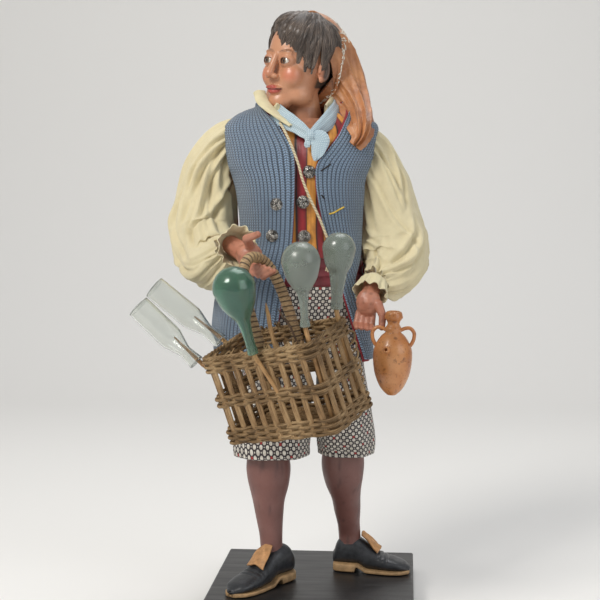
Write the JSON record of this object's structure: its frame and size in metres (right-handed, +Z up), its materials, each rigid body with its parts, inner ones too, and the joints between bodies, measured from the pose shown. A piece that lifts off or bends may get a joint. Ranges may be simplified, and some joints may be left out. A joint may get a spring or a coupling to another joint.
{
  "type": "man figurine",
  "caption": "Dressed figurine of a street seller on a square board, with a wicker basket of glass flasks on one arm and a clay jug in the other hand.",
  "frame": {"origin": "centre of the base board's underside", "axes": "+Z up through the figure, -Y out of the board's front edge, which the figure's chest faces, +X to the figure's own left"},
  "size_m": [0.1796, 0.1975, 0.3805],
  "materials": {
    "black_board": "satin black paint",
    "tow": "matt",
    "painted_leg": "satin painted carving",
    "painted_flesh": "satin paint on fired clay",
    "painted_hand": "satin painted carving",
    "glass_eye": "glossy",
    "copper_satin": "sheen",
    "blue_print": "matt, fine print",
    "cream_cotton": "matt",
    "striped_satin": "satin stripes",
    "silver_filigree": "bright wirework",
    "dark_red_cloth": "matt",
    "red_lining": "matt",
    "blue_wool": "knitted",
    "printed_cotton": "matt, dotted",
    "wicker": "dry",
    "peeled_stick": "dry",
    "dark_twig": "dry bark",
    "green_glass": "glossy",
    "grey_green_glass": "glossy",
    "clear_glass": "glossy",
    "glazed_clay": "glazed",
    "cream_twine": "matt"
  },
  "bodies": {
    "root": {"base_board": "black_board", "leg_right": "painted_leg", "leg_left": "painted_leg", "head": "painted_flesh", "eye_right": "glass_eye", "eye_left": "glass_eye", "hand_right": "painted_hand", "hand_left": "painted_hand", "tow_body": "tow", "breeches": "printed_cotton", "waist_sash": "dark_red_cloth", "waistcoat": "striped_satin", "shirt_sleeve_right": "cream_cotton", "shirt_sleeve_left": "cream_cotton", "cuff_ruffle_right": "cream_cotton", "cuff_ruffle_left": "cream_cotton", "vest_lining": "red_lining", "knitted_vest": "blue_wool", "shirt_collar": "cream_cotton", "neckerchief": "blue_print", "headscarf": "copper_satin", "waistcoat_button_1": "silver_filigree", "waistcoat_button_2": "silver_filigree", "waistcoat_button_3": "silver_filigree", "vest_button_1": "silver_filigree", "vest_button_2": "silver_filigree", "basket": "wicker", "basket_handle": "wicker", "flask_green": "green_glass", "flask_grey_middle": "grey_green_glass", "flask_grey_right": "grey_green_glass", "bottle_clear_upper": "clear_glass", "bottle_clear_lower": "clear_glass", "stick_green": "peeled_stick", "stick_grey_middle": "peeled_stick", "stick_grey_right": "peeled_stick", "stick_clear_upper": "peeled_stick", "stick_clear_lower": "peeled_stick", "stick_bare": "peeled_stick", "twig_dark": "dark_twig", "jug": "glazed_clay", "twine": "cream_twine", "twine_knot": "cream_twine"}
  },
  "joints": []
}
